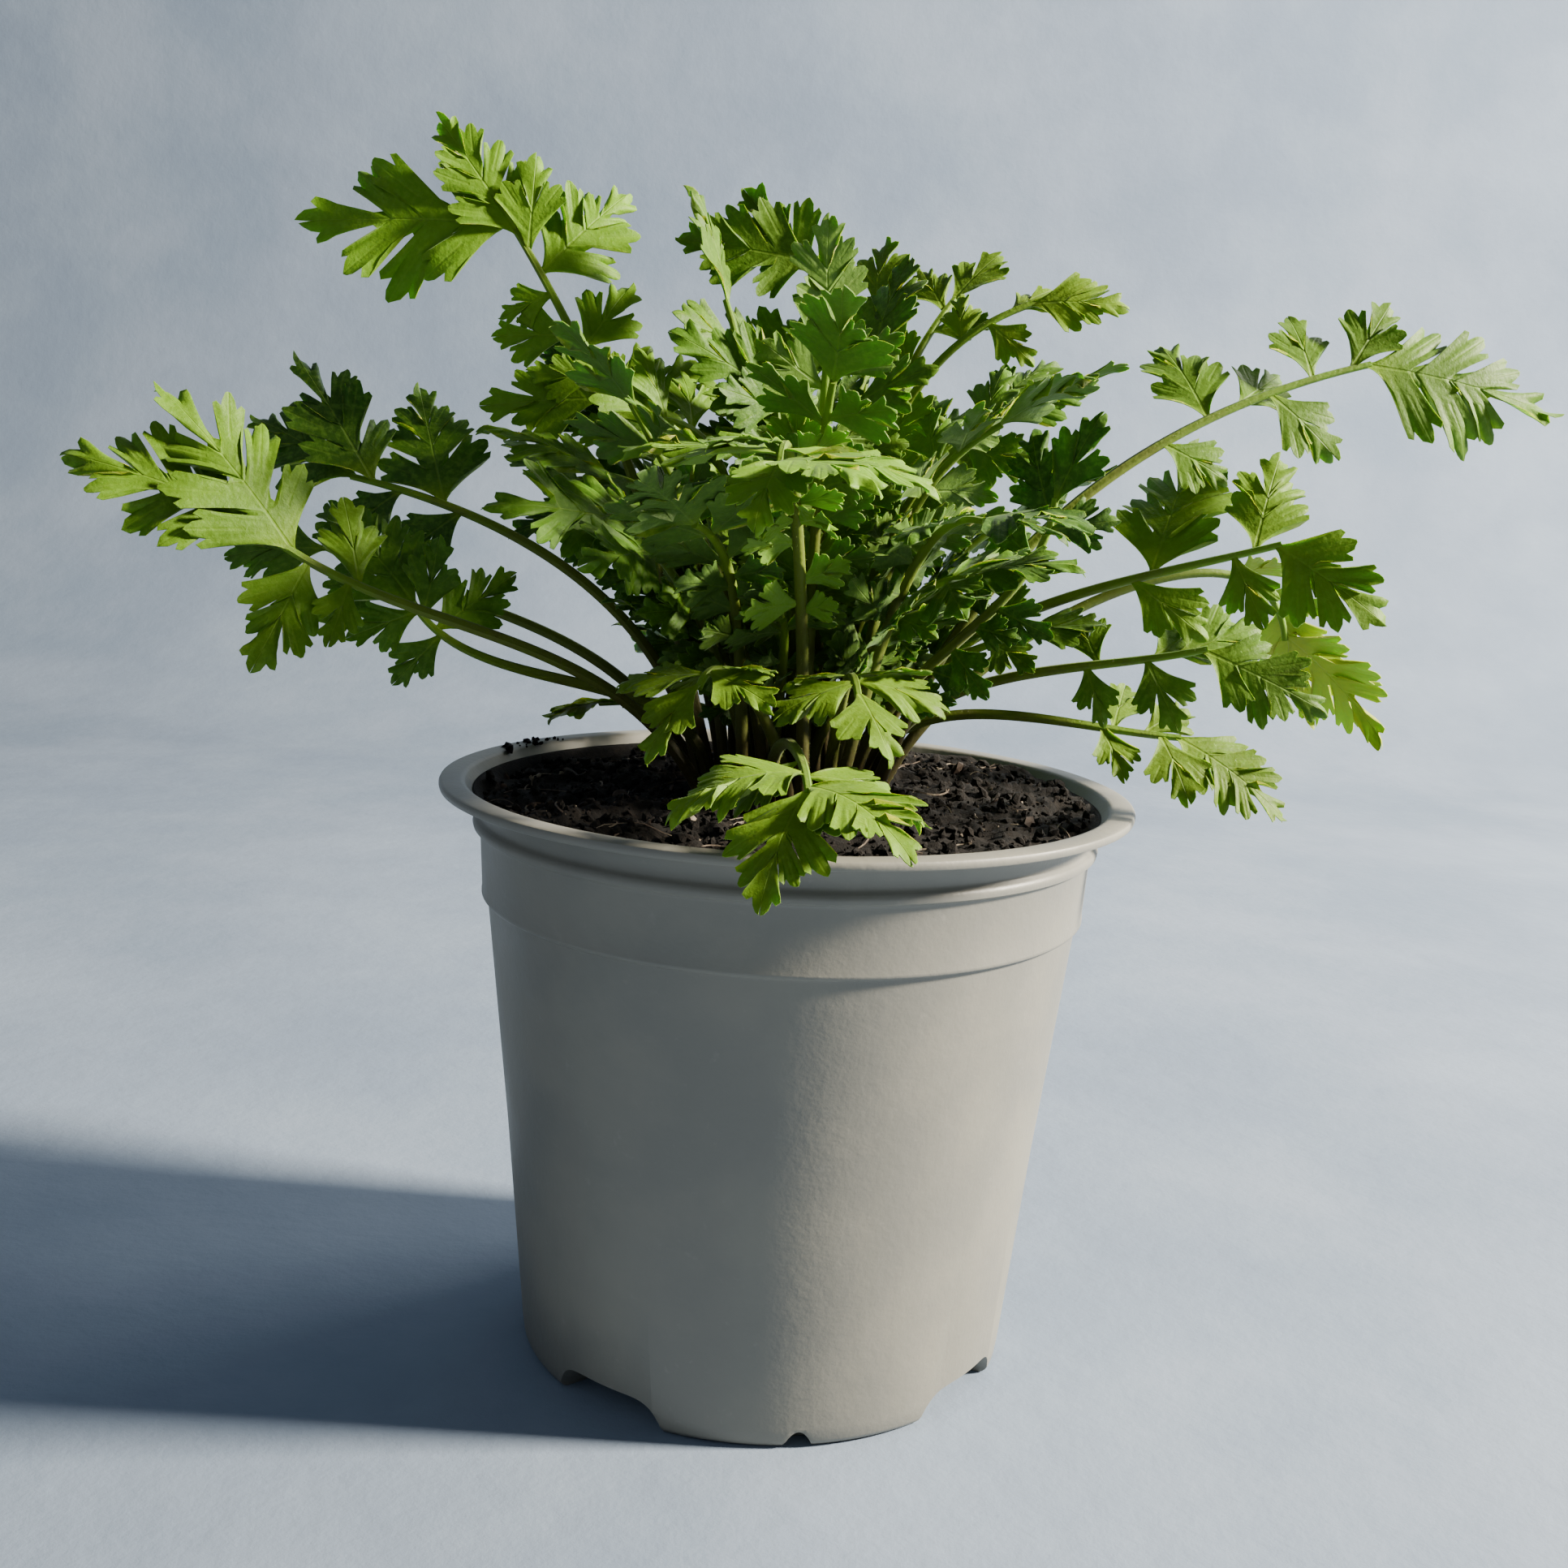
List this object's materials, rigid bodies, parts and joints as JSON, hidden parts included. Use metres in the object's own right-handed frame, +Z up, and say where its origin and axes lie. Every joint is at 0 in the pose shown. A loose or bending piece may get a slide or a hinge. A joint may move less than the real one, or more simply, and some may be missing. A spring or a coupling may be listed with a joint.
{
  "type": "potted herb",
  "caption": "Herb with cut, lobed leaves on long stalks that spread from one crown, growing in a tapered round plastic nursery pot filled with compost.",
  "frame": {"origin": "on the pot's axis, in the plane that the pot stands on", "axes": "+Z up along the pot's axis, +X to the right and +Y to the back as the plant is seen in the picture"},
  "size_m": [0.2628, 0.1499, 0.2287],
  "materials": {
    "pot_grey": "fine-grained moulded plastic, mid grey",
    "compost": "damp, crumbly, near black-brown",
    "leaf_green": "matt green leaf, thin and slightly hairy"
  },
  "bodies": {
    "root": {"pot": "pot_grey", "soil": "compost", "leaf_back_hanging": "leaf_green", "leaf_back_left_low": "leaf_green", "leaf_back_right": "leaf_green", "leaf_back_right_high": "leaf_green", "leaf_back_top": "leaf_green", "leaf_blue_left": "leaf_green", "leaf_centre_tall": "leaf_green", "leaf_centre_young": "leaf_green", "leaf_dark_left": "leaf_green", "leaf_dark_right": "leaf_green", "leaf_facing_left": "leaf_green", "leaf_flat_right": "leaf_green", "leaf_front": "leaf_green", "leaf_front_left": "leaf_green", "leaf_front_right": "leaf_green", "leaf_high_right": "leaf_green", "leaf_inner_1": "leaf_green", "leaf_inner_2": "leaf_green", "leaf_inner_3": "leaf_green", "leaf_long_left": "leaf_green", "leaf_low_left": "leaf_green", "leaf_low_right": "leaf_green", "leaf_lower_1": "leaf_green", "leaf_lower_2": "leaf_green", "leaf_mid_left": "leaf_green", "leaf_mid_right": "leaf_green", "leaf_middle_1": "leaf_green", "leaf_middle_2": "leaf_green", "leaf_middle_3": "leaf_green", "leaf_middle_4": "leaf_green", "leaf_middle_5": "leaf_green", "leaf_near_left": "leaf_green", "leaf_over_rim": "leaf_green", "leaf_pale_left": "leaf_green", "leaf_right_cluster": "leaf_green", "leaf_right_front": "leaf_green", "leaf_short_1": "leaf_green", "leaf_short_2": "leaf_green", "leaf_short_3": "leaf_green", "leaf_short_4": "leaf_green", "leaf_short_5": "leaf_green", "leaf_short_6": "leaf_green", "leaf_tall_left": "leaf_green", "leaf_top_centre": "leaf_green", "leaf_upper_1": "leaf_green", "leaf_upper_2": "leaf_green", "leaf_upper_3": "leaf_green", "leaf_upper_4": "leaf_green", "leaf_upper_5": "leaf_green", "leaf_upper_6": "leaf_green", "leaf_upright_left": "leaf_green", "leaf_young_1": "leaf_green", "leaf_young_2": "leaf_green", "leaf_young_3": "leaf_green"}
  },
  "joints": []
}
